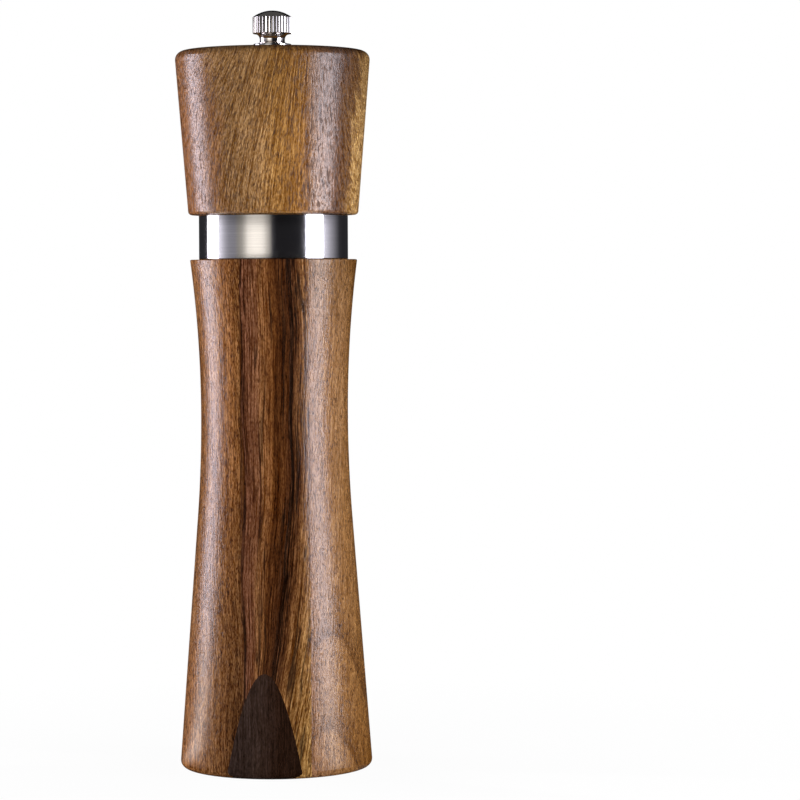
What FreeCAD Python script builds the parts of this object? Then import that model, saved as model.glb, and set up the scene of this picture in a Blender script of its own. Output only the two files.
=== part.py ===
import FreeCAD, Part
import math
import os
import Sketcher

# Pepper mill in millimetres, standing on z = 0 with its axis on Z and its inlay towards -Y.

# Driving sizes, one cell each
SIZES = {
    "body_height": 145.2,
    "waist_height": 101.0,
    "waist_wall": 7.0,
    "flare_arc": 380.0,
    "base_rim": 5.45,
    "base_round": 2.0,
    "chamber_d": 28.0,
    "board_thickness": 19.5,
    "blank_margin": 2.0,
    "inlay_depth": 2.25,
    "inlay_angle": 7.5,
    "mouth_d": 34.0,
    "spigot_wall": 3.2,
    "collar_wall": 1.0,
    "collar_height": 12.7,
    "collar_chamfer": 0.25,
    "shoulder_step": 2.6,
    "head_step": 2.95,
    "head_flare": 3.7,
    "head_height": 46.4,
    "head_dome": 0.9,
    "head_top_round": 2.5,
    "head_foot_round": 1.1,
    "tenon_length": 12.5,
    "bushing_lip": 0.86,
    "bushing_flange": 1.3,
    "bushing_length": 8.0,
    "knob_wall": 1.025,
    "knob_foot_lip": 0.525,
    "knob_foot": 0.25,
    "knob_neck": 2.9,
    "knob_lip": 2.025,
    "knob_skirt": 4.7,
    "knob_dome": 1.9,
    "knob_cap": 2.2,
    "knob_neck_round": 1.6,
    "flute_count": 36,
    "flute_r": 0.45,
    "flute_depth": 0.28,
    "plate_step": 1.7,
    "plate_height": 2.0,
    "shaft_width": 6.0,
    "thread_d": 5.0,
    "hub_wall": 0.62,
    "hub_flange": 1.5,
    "hub_flange_lip": 3.5,
    "rotor_d": 23.8,
    "rotor_height": 10.5,
    "rotor_band": 4.0,
    "rotor_wall": 1.5,
    "grind_angle": 15.0,
    "stator_height": 12.0,
    "stator_wall": 2.13,
    "stator_funnel": 1.6,
    "slot_count": 9,
    "slot_width": 2.4,
    "slot_depth": 0.9,
    "slot_angle": 15.0,
    "tooth_count": 36,
    "tooth_width": 0.9,
    "tooth_depth": 0.45,
    "band_land": 0.5,
    "barrel_wall": 1.45,
    "seat_lip": 1.85,
    "flange_width": 5.5,
    "flange_height": 3.0,
    "flange_recess": 4.0,
    "bridge_height": 4.2,
    "bridge_arms": 3,
    "arm_angle": 24.0,
    "boss_wall": 1.6,
    "spring_wire": 1.0,
    "spring_length": 7.7,
    "spring_turns": 4,
    "spring_washer": 0.8,
    "rotor_washer": 1.0,
    "rotor_washer_lip": 3.4,
    "rotor_screw_d": 4.0,
    "rotor_screw_head": 2.2,
    "rotor_screw_head_lip": 1.7,
    "rotor_screw_length": 11.0,
    "wood_screw_d": 2.5,
    "wood_screw_lip": 1.05,
    "wood_screw_length": 10.0,
    "wood_screw_tip": 1.8,
    "recess_width": 0.7,
    "recess_reach": 1.3,
    "recess_depth": 0.8,
    "recess_arms": 4,
    "housing_screw_count": 3,
    "drive_plate_screw_count": 2,
    # Clearances
    "glue_gap": 0.05,
    "thread_gap": 0.05,
    "slide_gap": 0.1,
    "washer_gap": 0.15,
    "housing_gap": 0.15,
    "bushing_gap": 0.2,
    "turn_gap": 0.3,
    "rim_gap": 0.3,
    "bore_gap": 0.35,
    "grind_gap": 0.55,
    "spring_gap": 0.15,
    "spring_clear": 0.55,
    "clamp_gap": 0.3,
    "plate_gap": 1.4,
    "shaft_gap": 2.0,
    "knob_bore_gap": 1.4,
    "screw_hole_gap": 1.5,
    "foot_clear": 1.8,
}

# Sizes worked out from the driving ones, in order
FITS = {
    # Grinder radii, from the shaft outwards to the foot of the body
    "shaft_r": "dim.shaft_width * sqrt(2) / 2",
    "bore_r": "shaft_r + dim.bore_gap",
    "drive_hole": "dim.shaft_width + 2 * dim.slide_gap",
    "hub_r": "drive_hole * sqrt(2) / 2 + dim.hub_wall",
    "hub_flange_r": "hub_r + dim.hub_flange_lip",
    "rotor_bore_r": "hub_r + dim.glue_gap",
    "rotor_top_r": "rotor_bore_r + dim.rotor_wall",
    "rotor_r": "dim.rotor_d / 2",
    "rotor_band_r": "rotor_r - dim.rotor_band * tan(dim.grind_angle)",
    "stator_neck_r": "rotor_band_r + dim.grind_gap / cos(dim.grind_angle)",
    "stator_mouth_r": "stator_neck_r + dim.stator_funnel",
    # Heights of the grinder
    "rotor_washer_z": "dim.foot_clear + dim.rotor_screw_head",
    "hub_z": "rotor_washer_z + dim.rotor_washer",
    "rotor_z": "hub_z + dim.hub_flange",
    "rotor_band_z": "rotor_z + dim.rotor_band",
    "rotor_top": "rotor_z + dim.rotor_height",
    "stator_z": "rotor_top - dim.stator_height",
    "spring_z": "rotor_top + dim.spring_gap",
    "spring_washer_z": "spring_z + dim.spring_length + dim.spring_gap",
    "bridge_z": "spring_washer_z + dim.spring_washer",
    "barrel_top": "bridge_z + dim.bridge_height",
    "pocket_top": "barrel_top + dim.housing_gap",
    "flange_z": "dim.flange_recess",
    "flange_top": "flange_z + dim.flange_height",
    # Grinder radii, continued
    "stator_foot_r": "stator_neck_r + (rotor_band_z - stator_z) * tan(dim.grind_angle)",
    "stator_r": "stator_foot_r + dim.stator_wall",
    "seat_r": "stator_r + dim.glue_gap",
    "throat_r": "seat_r - dim.seat_lip",
    "barrel_r": "seat_r + dim.barrel_wall",
    "flange_r": "barrel_r + dim.flange_width",
    "pocket_r": "barrel_r + dim.housing_gap",
    "recess_r": "flange_r + dim.housing_gap",
    "base_r": "recess_r + dim.base_rim",
    "inlay_flat": "base_r - dim.inlay_depth",
    "blank_half": "base_r + dim.blank_margin",
    "boss_r": "bore_r + dim.boss_wall",
    "spring_r": "shaft_r + dim.spring_clear + dim.spring_wire / 2",
    "spring_washer_r": "spring_r + dim.spring_wire / 2 + dim.washer_gap",
    # Neck and head radii
    "chamber_r": "dim.chamber_d / 2",
    "waist_r": "chamber_r + dim.waist_wall",
    "mouth_r": "dim.mouth_d / 2",
    "spigot_r": "mouth_r + dim.spigot_wall",
    "collar_bore_r": "spigot_r + dim.glue_gap",
    "collar_r": "collar_bore_r + dim.collar_wall",
    "collar_edge_r": "collar_r - dim.collar_chamfer",
    "shoulder_r": "collar_r + dim.shoulder_step",
    "head_foot_r": "collar_r + dim.head_step",
    "head_rim_r": "head_foot_r + dim.head_flare",
    "tenon_r": "mouth_r - dim.turn_gap",
    "plate_r": "tenon_r - dim.plate_step",
    "bushing_r": "bore_r - dim.glue_gap",
    "bushing_flange_r": "bore_r + dim.bushing_lip",
    # Heights of the neck and head
    "collar_top": "dim.body_height + dim.collar_height",
    "collar_low_edge": "dim.body_height + dim.collar_chamfer",
    "collar_high_edge": "collar_top - dim.collar_chamfer",
    "spigot_top": "collar_top - dim.rim_gap",
    "tenon_z": "collar_top - dim.tenon_length",
    "plate_z": "tenon_z - dim.plate_height",
    "mouth_floor": "plate_z - dim.plate_gap",
    "head_rim": "collar_top + dim.head_height",
    "head_top": "head_rim + dim.head_dome",
    "bushing_z": "head_top - dim.bushing_length",
    "bushing_top": "head_top + dim.bushing_flange",
    "knob_foot_top": "bushing_top + dim.knob_foot",
    "knob_lip_z": "bushing_top + dim.knob_neck",
    "knob_brow": "knob_lip_z + dim.knob_skirt",
    "knob_top": "knob_brow + dim.knob_dome",
    "knob_bore_top": "knob_top - dim.knob_cap",
    # Shaft, knob and screws
    "thread_r": "dim.thread_d / 2",
    "bushing_bore_r": "thread_r + dim.bushing_gap",
    "knob_bore_r": "thread_r + dim.thread_gap",
    "knob_neck_r": "knob_bore_r + dim.knob_wall",
    "knob_foot_r": "knob_neck_r + dim.knob_foot_lip",
    "knob_r": "knob_neck_r + dim.knob_lip",
    "flute_x": "knob_r + dim.flute_r - dim.flute_depth",
    "shaft_z": "hub_z + dim.clamp_gap",
    "shaft_shoulder": "bushing_z - dim.shaft_gap",
    "shaft_top": "knob_bore_top - dim.knob_bore_gap",
    "shaft_length": "shaft_shoulder - shaft_z",
    "thread_length": "shaft_top - shaft_shoulder",
    "rotor_screw_r": "dim.rotor_screw_d / 2",
    "rotor_screw_head_r": "rotor_screw_r + dim.rotor_screw_head_lip",
    "rotor_screw_top": "rotor_washer_z + dim.rotor_screw_length",
    "rotor_screw_recess": "dim.foot_clear + dim.recess_depth",
    "rotor_screw_hole_r": "rotor_screw_r + dim.thread_gap",
    "rotor_screw_hole": "rotor_screw_top + dim.screw_hole_gap - shaft_z",
    "rotor_washer_bore_r": "rotor_screw_r + dim.washer_gap",
    "rotor_washer_r": "rotor_washer_bore_r + dim.rotor_washer_lip",
    "wood_screw_r": "dim.wood_screw_d / 2",
    "wood_screw_head_r": "wood_screw_r + dim.wood_screw_lip",
    "wood_screw_neck": "dim.wood_screw_lip",
    "wood_screw_point": "dim.wood_screw_length - dim.wood_screw_tip",
    "pilot_r": "wood_screw_r + dim.glue_gap",
    "housing_pilot_depth": "dim.wood_screw_length - dim.flange_height + dim.screw_hole_gap",
    "plate_pilot_depth": "dim.wood_screw_length - dim.plate_height + dim.screw_hole_gap",
    "sink_r": "wood_screw_head_r + dim.glue_gap",
    "housing_screw_x": "(pocket_r + flange_r) / 2",
    "drive_plate_screw_x": "(plate_r + shaft_r) / 2",
    # Slots of the grinder
    "rotor_cone": "rotor_top - rotor_band_z",
    "hub_height": "rotor_top - hub_z",
    "rotor_slot_r": "rotor_top_r - dim.slot_depth",
    "stator_slot_r": "stator_mouth_r + dim.slot_depth",
    "stator_slot_z": "rotor_band_z + dim.band_land",
    "tooth_top": "rotor_band_z - dim.band_land",
    "land_step": "dim.band_land * tan(dim.grind_angle)",
    "rotor_tooth_root": "rotor_r - dim.tooth_depth",
    "rotor_tooth_tip": "rotor_r + dim.tooth_depth",
    "rotor_tooth_top_root": "rotor_band_r + land_step - dim.tooth_depth",
    "rotor_tooth_top_tip": "rotor_band_r + land_step + dim.tooth_depth",
    "stator_tooth_root": "stator_foot_r + dim.tooth_depth",
    "stator_tooth_tip": "stator_foot_r - dim.tooth_depth",
    "stator_tooth_top_root": "stator_neck_r + land_step + dim.tooth_depth",
    "stator_tooth_top_tip": "stator_neck_r + land_step - dim.tooth_depth",
    "window_angle": "180 / dim.bridge_arms - dim.arm_angle / 2",
}

doc = FreeCAD.newDocument("pepper_mill")


def fill_sheet(name, cells, prefix):
    """Make a sheet with one named cell on each row."""
    sheet = doc.addObject("Spreadsheet::Sheet", name)
    for row, (alias, content) in enumerate(cells.items(), start=1):
        sheet.set(f"A{row}", alias)
        sheet.set(f"B{row}", prefix + str(content))
        sheet.setAlias(f"B{row}", alias)
    doc.recompute()
    return sheet


dim = fill_sheet("dim", SIZES, "")
fit = fill_sheet("fit", FITS, "=")


def size(name):
    """Number held by a cell, for geometry that the solver then places."""
    if name == "0":
        return 0.0
    return float((dim if name in SIZES else fit).get(name))


def cell(name):
    """Cell address of a name, for expressions."""
    return ("dim." if name in SIZES else "fit.") + name


def bind(feature, **links):
    """Tie properties of a feature to cells."""
    for prop, name in links.items():
        feature.setExpression(prop, cell(name))


def origin_item(body, role):
    """Plane or axis of a body's own origin."""
    return next(item for item in body.Origin.OriginFeatures if item.Role == role)


def new_body(label):
    """Empty body with its node name."""
    body = doc.addObject("PartDesign::Body", label)
    body.Label = label
    return body


def new_sketch(body, name, role="XZ_Plane", height=None):
    """Sketch on a plane of the body's origin, lifted to a height where one is named."""
    sketch = body.newObject("Sketcher::SketchObject", name)
    sketch.AttachmentSupport = [(origin_item(body, role), "")]
    sketch.MapMode = "FlatFace"
    if height is not None:
        sketch.setExpression("AttachmentOffset.Base.z", cell(height))
    doc.recompute()
    return sketch


def tie(sketch, kind, name, *places):
    """Driving constraint held by a cell."""
    index = sketch.addConstraint(Sketcher.Constraint(kind, *places, size(name)))
    sketch.setExpression(f"Constraints[{index}]", cell(name))


def pin(sketch, line, end, x, y):
    """Place one end of a line or curve by two cells, or on an axis where the name is 0."""
    if x == "0":
        sketch.addConstraint(Sketcher.Constraint("PointOnObject", line, end, -2))
    else:
        tie(sketch, "DistanceX", x, -1, 1, line, end)
    if y == "0":
        sketch.addConstraint(Sketcher.Constraint("PointOnObject", line, end, -1))
    else:
        tie(sketch, "DistanceY", y, -1, 1, line, end)


def point(x, y):
    """Sketch point of two named sizes."""
    return FreeCAD.Vector(size(x), size(y), 0)


def join(sketch, first, first_end, second, second_end):
    """Make two ends meet."""
    sketch.addConstraint(Sketcher.Constraint("Coincident", first, first_end, second, second_end))


def add_arc(sketch, centre, start, end):
    """Arc about a centre, anticlockwise from start to end."""
    arms = [place - centre for place in (start, end)]
    angles = [math.atan2(arm.y, arm.x) for arm in arms]
    if angles[1] < angles[0]:
        angles[1] += 2 * math.pi
    circle = Part.Circle(centre, FreeCAD.Vector(0, 0, 1), arms[0].Length)
    return sketch.addGeometry(Part.ArcOfCircle(circle, *angles), False)


def add_dome(sketch, rim, crown):
    """Arc from a rim up to a crown, level at the crown."""
    rise = crown - rim
    r = (rise.x ** 2 + rise.y ** 2) / (2 * rise.y)
    return add_arc(sketch, crown - FreeCAD.Vector(0, r, 0), rim, crown)


def add_path(sketch, corners):
    """Chain of lines through named corners; gives the index of the first and the last line."""
    lines = []
    for start, end in zip(corners, corners[1:]):
        lines.append(sketch.addGeometry(Part.LineSegment(point(*start), point(*end)), False))
        pin(sketch, lines[-1], 1, *start)
        if len(lines) > 1:
            join(sketch, lines[-2], 2, lines[-1], 1)
    pin(sketch, lines[-1], 2, *corners[-1])
    return lines[0], lines[-1]


def outline(sketch, corners):
    """Closed outline of straight lines through named corners."""
    lines = []
    for start, end in zip(corners, corners[1:] + corners[:1]):
        lines.append(sketch.addGeometry(Part.LineSegment(point(*start), point(*end)), False))
        pin(sketch, lines[-1], 1, *start)
    for before, after in zip(lines, lines[1:] + lines[:1]):
        join(sketch, before, 2, after, 1)


def turn(body, sketch):
    """Revolve a profile about the body's axis."""
    feature = body.newObject("PartDesign::Revolution", body.Name + "_turning")
    feature.Profile = sketch
    feature.ReferenceAxis = (sketch, ["V_Axis"])
    feature.Angle = 360
    sketch.Visibility = False
    doc.recompute()
    return feature


def turned(label, corners):
    """Body turned from a straight-sided profile."""
    body = new_body(label)
    sketch = new_sketch(body, label + "_profile")
    outline(sketch, corners)
    turn(body, sketch)
    return body


def rings_at(shape, r, z):
    """Names of the circular edges at a named radius and height."""
    close = 1e-4
    names = []
    for number, edge in enumerate(shape.Edges, start=1):
        if edge.Degenerated or not isinstance(edge.Curve, Part.Circle):
            continue
        if abs(edge.Curve.Radius - size(r)) < close and abs(edge.Curve.Center.z - size(z)) < close:
            names.append(f"Edge{number}")
    return names


def round_ring(body, name, r, z, radius):
    """Fillet a turned edge."""
    base = body.Tip
    feature = body.newObject("PartDesign::Fillet", name)
    feature.Base = (base, rings_at(base.Shape, r, z))
    bind(feature, Radius=radius)
    doc.recompute()
    return feature


def cut(body, sketch, depth, upwards=False, both_sides=False):
    """Pocket of a named depth that must take material away."""
    before = body.Shape.Volume
    feature = body.newObject("PartDesign::Pocket", sketch.Name + "_pocket")
    feature.Profile = sketch
    feature.Reversed = upwards
    if both_sides:
        feature.SideType = "Symmetric"
    bind(feature, Length=depth)
    sketch.Visibility = False
    doc.recompute()
    if not body.Shape.Volume < before:
        raise RuntimeError(sketch.Name + " cuts nothing")
    return feature


def ring_of(body, feature, count):
    """Repeat a feature round the body's axis."""
    pattern = body.newObject("PartDesign::PolarPattern", feature.Name + "_ring")
    pattern.Originals = [feature]
    pattern.Axis = (origin_item(body, "Z_Axis"), [""])
    pattern.Angle = 360
    bind(pattern, Occurrences=count)
    body.Tip = pattern
    doc.recompute()
    return pattern


def circle_sketch(body, name, height, x, y, r):
    """Circle centred on two named sizes, at a named height."""
    sketch = new_sketch(body, name, "XY_Plane", height)
    circle = Part.Circle(point(x, y), FreeCAD.Vector(0, 0, 1), size(r))
    ring = sketch.addGeometry(circle, False)
    pin(sketch, ring, 3, x, y)
    tie(sketch, "Radius", r, ring)
    return sketch


def square_sketch(body, name, height, side):
    """Square centred on the axis, at a named height."""
    sketch = new_sketch(body, name, "XY_Plane", height)
    half = size(side) / 2
    places = [FreeCAD.Vector(half * x, half * y, 0) for x, y in ((-1, -1), (1, -1), (1, 1), (-1, 1))]
    for start, end in zip(places, places[1:] + places[:1]):
        sketch.addGeometry(Part.LineSegment(start, end), False)
    for line in range(4):
        join(sketch, line, 2, (line + 1) % 4, 1)
        sketch.addConstraint(Sketcher.Constraint("Horizontal" if line % 2 == 0 else "Vertical", line))
    sketch.addConstraint(Sketcher.Constraint("Symmetric", 0, 1, 1, 2, -1, 1))
    tie(sketch, "DistanceX", side, 0, 1, 0, 2)
    tie(sketch, "DistanceY", side, 1, 1, 1, 2)
    return sketch


def pad(body, sketch, length):
    """Extrude a sketch upwards by a named length."""
    feature = body.newObject("PartDesign::Pad", sketch.Name + "_pad")
    feature.Profile = sketch
    bind(feature, Length=length)
    sketch.Visibility = False
    doc.recompute()
    return feature


def sunk_hole(body, name, height, x, y, count):
    """Countersunk screw holes, from a named face upwards, spread round the axis."""
    sketch = circle_sketch(body, name, height, x, y, "pilot_r")
    before = body.Shape.Volume
    hole = body.newObject("PartDesign::Hole", name + "_hole")
    hole.Profile = sketch
    hole.Reversed = True
    hole.DepthType = "ThroughAll"
    hole.HoleCutType = "Countersink"
    hole.HoleCutCustomValues = True
    hole.HoleCutCountersinkAngle = 90
    hole.setExpression("Diameter", "2 * fit.pilot_r")
    hole.setExpression("HoleCutDiameter", "2 * fit.sink_r")
    sketch.Visibility = False
    doc.recompute()
    if not body.Shape.Volume < before:
        raise RuntimeError(name + " cuts nothing")
    ring_of(body, hole, count)


# Turned body, before it is parted into boards
def make_turned_body():
    body = new_body("turned_body")
    sketch = new_sketch(body, "turned_body_profile")
    first, last = add_path(sketch, [
        ("shoulder_r", "body_height"),
        ("spigot_r", "body_height"),
        ("spigot_r", "spigot_top"),
        ("mouth_r", "spigot_top"),
        ("mouth_r", "mouth_floor"),
        ("chamber_r", "mouth_floor"),
        ("chamber_r", "pocket_top"),
        ("pocket_r", "pocket_top"),
        ("pocket_r", "flange_top"),
        ("recess_r", "flange_top"),
        ("recess_r", "0"),
        ("base_r", "0"),
    ])
    base = point("base_r", "0")
    waist = point("waist_r", "waist_height")
    shoulder = point("shoulder_r", "body_height")
    flare_r = size("flare_arc")
    flare_centre = waist + FreeCAD.Vector(flare_r, 0, 0)
    to_base = base - flare_centre
    tangent_angle = math.atan2(to_base.y, to_base.x) + 2 * math.pi - math.acos(flare_r / to_base.Length)
    tangent = flare_centre + FreeCAD.Vector(math.cos(tangent_angle), math.sin(tangent_angle), 0) * flare_r
    rise = shoulder - waist
    upper_r = (rise.x ** 2 + rise.y ** 2) / (2 * rise.x)
    flare = sketch.addGeometry(Part.LineSegment(base, tangent), False)
    lower = add_arc(sketch, flare_centre, waist, tangent)
    upper = add_arc(sketch, waist + FreeCAD.Vector(upper_r, 0, 0), shoulder, waist)
    join(sketch, last, 2, flare, 1)
    sketch.addConstraint(Sketcher.Constraint("Tangent", flare, 2, lower, 2))
    join(sketch, lower, 1, upper, 2)
    join(sketch, upper, 1, first, 1)
    pin(sketch, lower, 1, "waist_r", "waist_height")
    for arc in (lower, upper):
        tie(sketch, "DistanceY", "waist_height", -1, 1, arc, 3)
    tie(sketch, "Radius", "flare_arc", lower)
    turn(body, sketch)
    round_ring(body, "base_rounding", "base_r", "0", "base_round")
    pilot = circle_sketch(body, "housing_pilot", "flange_top", "0", "housing_screw_x", "pilot_r")
    ring_of(body, cut(body, pilot, "housing_pilot_depth", upwards=True), "housing_screw_count")
    return body


def slab(label, length, width, height, x, y, turn_name=None):
    """Box whose sizes and corner are expressions, turned about its own corner where an angle is named."""
    box = doc.addObject("Part::Box", label)
    box.setExpression("Length", length)
    box.setExpression("Width", width)
    box.setExpression("Height", height)
    box.setExpression("Placement.Base.x", x)
    box.setExpression("Placement.Base.y", y)
    if turn_name is not None:
        box.setExpression("Placement.Rotation.Angle", "-" + cell(turn_name))
    return box


def shared(label, first, second):
    """Part of one solid that lies inside another."""
    common = doc.addObject("Part::Common", label)
    common.Base = first
    common.Tool = second
    common.Label = label
    return common


# Three boards and the inlay, all turned as one blank
def make_boards():
    blank = make_turned_body()
    width = "2 * fit.blank_half"
    height = "fit.collar_top"
    swing = "dim.inlay_angle"
    inlay_slab = slab(
        "inlay_slab", width, "fit.blank_half", "dim.waist_height",
        f"-fit.blank_half * cos({swing}) - (fit.inlay_flat + fit.blank_half) * sin({swing})",
        f"fit.blank_half * sin({swing}) - (fit.inlay_flat + fit.blank_half) * cos({swing})",
        "inlay_angle",
    )
    flatted = doc.addObject("Part::Cut", "flatted_blank")
    flatted.Base = blank
    flatted.Tool = inlay_slab
    half = "dim.board_thickness / 2"
    side = f"fit.blank_half - {half}"
    left = slab("left_slab", side, width, height, "-fit.blank_half", "-fit.blank_half")
    right = slab("right_slab", side, width, height, half, "-fit.blank_half")
    centre = "dim.board_thickness"
    front = slab("front_slab", centre, "fit.blank_half", height, "-" + half, "-fit.blank_half")
    back = slab("back_slab", centre, "fit.blank_half", height, "-" + half, "0")
    return [
        shared("body_left_board", flatted, left),
        shared("body_front_board", flatted, front),
        shared("body_back_board", flatted, back),
        shared("body_right_board", flatted, right),
        shared("base_inlay", blank, inlay_slab),
    ]


def make_collar():
    return turned("neck_collar", [
        ("collar_bore_r", "body_height"),
        ("collar_edge_r", "body_height"),
        ("collar_r", "collar_low_edge"),
        ("collar_r", "collar_high_edge"),
        ("collar_edge_r", "collar_top"),
        ("collar_bore_r", "collar_top"),
    ])


def make_head():
    body = new_body("mill_head")
    sketch = new_sketch(body, "mill_head_profile")
    first, last = add_path(sketch, [
        ("bushing_flange_r", "head_top"),
        ("bore_r", "head_top"),
        ("bore_r", "tenon_z"),
        ("tenon_r", "tenon_z"),
        ("tenon_r", "collar_top"),
        ("head_foot_r", "collar_top"),
        ("head_rim_r", "head_rim"),
    ])
    dome = add_dome(sketch, point("head_rim_r", "head_rim"), point("bushing_flange_r", "head_top"))
    join(sketch, last, 2, dome, 1)
    join(sketch, dome, 2, first, 1)
    tie(sketch, "DistanceX", "bushing_flange_r", -1, 1, dome, 3)
    turn(body, sketch)
    round_ring(body, "head_top_rounding", "head_rim_r", "head_rim", "head_top_round")
    round_ring(body, "head_foot_rounding", "head_foot_r", "collar_top", "head_foot_round")
    pilot = circle_sketch(body, "plate_pilot", "tenon_z", "drive_plate_screw_x", "0", "pilot_r")
    ring_of(body, cut(body, pilot, "plate_pilot_depth", upwards=True), "drive_plate_screw_count")
    return body


def make_bushing():
    return turned("head_bushing", [
        ("bushing_bore_r", "bushing_z"),
        ("bushing_r", "bushing_z"),
        ("bushing_r", "head_top"),
        ("bushing_flange_r", "head_top"),
        ("bushing_flange_r", "bushing_top"),
        ("bushing_bore_r", "bushing_top"),
    ])


def make_knob():
    body = new_body("adjusting_knob")
    sketch = new_sketch(body, "adjusting_knob_profile")
    first, last = add_path(sketch, [
        ("0", "knob_top"),
        ("0", "knob_bore_top"),
        ("knob_bore_r", "knob_bore_top"),
        ("knob_bore_r", "bushing_top"),
        ("knob_foot_r", "bushing_top"),
        ("knob_foot_r", "knob_foot_top"),
        ("knob_neck_r", "knob_foot_top"),
        ("knob_neck_r", "knob_lip_z"),
        ("knob_r", "knob_lip_z"),
        ("knob_r", "knob_brow"),
    ])
    dome = add_dome(sketch, point("knob_r", "knob_brow"), point("0", "knob_top"))
    join(sketch, last, 2, dome, 1)
    join(sketch, dome, 2, first, 1)
    sketch.addConstraint(Sketcher.Constraint("PointOnObject", dome, 3, -2))
    turn(body, sketch)
    round_ring(body, "knob_neck_rounding", "knob_neck_r", "knob_lip_z", "knob_neck_round")
    flute = circle_sketch(body, "knob_flute", "knob_lip_z", "flute_x", "0", "flute_r")
    ring_of(body, cut(body, flute, "knob_skirt", upwards=True), "flute_count")
    return body


def make_drive_plate():
    body = turned("drive_plate", [
        ("0", "plate_z"),
        ("plate_r", "plate_z"),
        ("plate_r", "tenon_z"),
        ("0", "tenon_z"),
    ])
    cut(body, square_sketch(body, "drive_plate_square", "tenon_z", "drive_hole"), "plate_height")
    sunk_hole(body, "drive_plate_screw", "plate_z", "drive_plate_screw_x", "0", "drive_plate_screw_count")
    return body


def make_shaft():
    body = new_body("drive_shaft")
    pad(body, square_sketch(body, "shaft_square", "shaft_z", "shaft_width"), "shaft_length")
    pad(body, circle_sketch(body, "shaft_thread", "shaft_shoulder", "0", "0", "thread_r"), "thread_length")
    socket = circle_sketch(body, "shaft_socket", "shaft_z", "0", "0", "rotor_screw_hole_r")
    cut(body, socket, "rotor_screw_hole", upwards=True)
    return body


def make_housing():
    body = turned("grinder_housing", [
        ("seat_r", "flange_z"),
        ("flange_r", "flange_z"),
        ("flange_r", "flange_top"),
        ("barrel_r", "flange_top"),
        ("barrel_r", "barrel_top"),
        ("bore_r", "barrel_top"),
        ("bore_r", "bridge_z"),
        ("throat_r", "bridge_z"),
        ("throat_r", "rotor_top"),
        ("seat_r", "rotor_top"),
    ])
    window = new_sketch(body, "bridge_window", "XY_Plane", "barrel_top")
    angle = math.radians(size("window_angle"))
    away = FreeCAD.Vector(math.cos(angle), math.sin(angle), 0)
    near = FreeCAD.Vector(away.x, -away.y, 0)
    inner_r, outer_r = size("boss_r"), size("throat_r")
    inner = add_arc(window, FreeCAD.Vector(), near * inner_r, away * inner_r)
    outer = add_arc(window, FreeCAD.Vector(), near * outer_r, away * outer_r)
    low = window.addGeometry(Part.LineSegment(near * inner_r, near * outer_r), False)
    high = window.addGeometry(Part.LineSegment(away * inner_r, away * outer_r), False)
    for line, end in ((low, 1), (high, 2)):
        join(window, line, 1, inner, end)
        join(window, line, 2, outer, end)
        window.addConstraint(Sketcher.Constraint("PointOnObject", -1, 1, line))
    for arc, r in ((inner, "boss_r"), (outer, "throat_r")):
        join(window, arc, 3, -1, 1)
        tie(window, "Radius", r, arc)
    window.addConstraint(Sketcher.Constraint("Symmetric", inner, 1, inner, 2, -1))
    index = window.addConstraint(Sketcher.Constraint("Angle", -1, 1, high, 1, angle))
    window.setExpression(f"Constraints[{index}]", cell("window_angle") + " * 1 deg")
    ring_of(body, cut(body, window, "bridge_height"), "bridge_arms")
    sunk_hole(body, "housing_screw", "flange_z", "0", "housing_screw_x", "housing_screw_count")
    return body


def slotted(body, name, corners, width, count, lean=None, height=None):
    """Slots along the body's side, drawn in a plane through its axis and leaning where an angle is named."""
    sketch = new_sketch(body, name)
    if lean is not None:
        leaning = FreeCAD.Rotation(FreeCAD.Vector(1, 0, 0), size(lean))
        sketch.AttachmentOffset = FreeCAD.Placement(FreeCAD.Vector(), leaning)
        sketch.setExpression("AttachmentOffset.Base.y", cell(height))
        sketch.setExpression("AttachmentOffset.Rotation.Angle", cell(lean))
        doc.recompute()
    outline(sketch, corners)
    ring_of(body, cut(body, sketch, width, both_sides=True), count)


def make_rotor():
    body = turned("rotor_cone", [
        ("rotor_bore_r", "rotor_z"),
        ("rotor_r", "rotor_z"),
        ("rotor_band_r", "rotor_band_z"),
        ("rotor_top_r", "rotor_top"),
        ("rotor_bore_r", "rotor_top"),
    ])
    slotted(body, "rotor_slot", [
        ("rotor_band_r", "band_land"),
        ("rotor_r", "rotor_cone"),
        ("rotor_slot_r", "rotor_cone"),
    ], "slot_width", "slot_count", "slot_angle", "rotor_band_z")
    slotted(body, "rotor_tooth", [
        ("rotor_tooth_root", "rotor_z"),
        ("rotor_tooth_tip", "rotor_z"),
        ("rotor_tooth_top_tip", "tooth_top"),
        ("rotor_tooth_top_root", "tooth_top"),
    ], "tooth_width", "tooth_count")
    return body


def make_stator():
    body = turned("stator_ring", [
        ("stator_foot_r", "stator_z"),
        ("stator_r", "stator_z"),
        ("stator_r", "rotor_top"),
        ("stator_mouth_r", "rotor_top"),
        ("stator_neck_r", "rotor_band_z"),
    ])
    slotted(body, "stator_slot", [
        ("stator_neck_r", "stator_slot_z"),
        ("stator_slot_r", "rotor_top"),
        ("rotor_top_r", "rotor_top"),
    ], "slot_width", "slot_count")
    slotted(body, "stator_tooth", [
        ("stator_tooth_root", "stator_z"),
        ("stator_tooth_top_root", "tooth_top"),
        ("stator_tooth_top_tip", "tooth_top"),
        ("stator_tooth_tip", "stator_z"),
    ], "tooth_width", "tooth_count")
    return body


def make_hub():
    body = turned("rotor_hub", [
        ("0", "hub_z"),
        ("hub_flange_r", "hub_z"),
        ("hub_flange_r", "rotor_z"),
        ("hub_r", "rotor_z"),
        ("hub_r", "rotor_top"),
        ("0", "rotor_top"),
    ])
    cut(body, square_sketch(body, "rotor_hub_square", "rotor_top", "drive_hole"), "hub_height")
    return body


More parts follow.
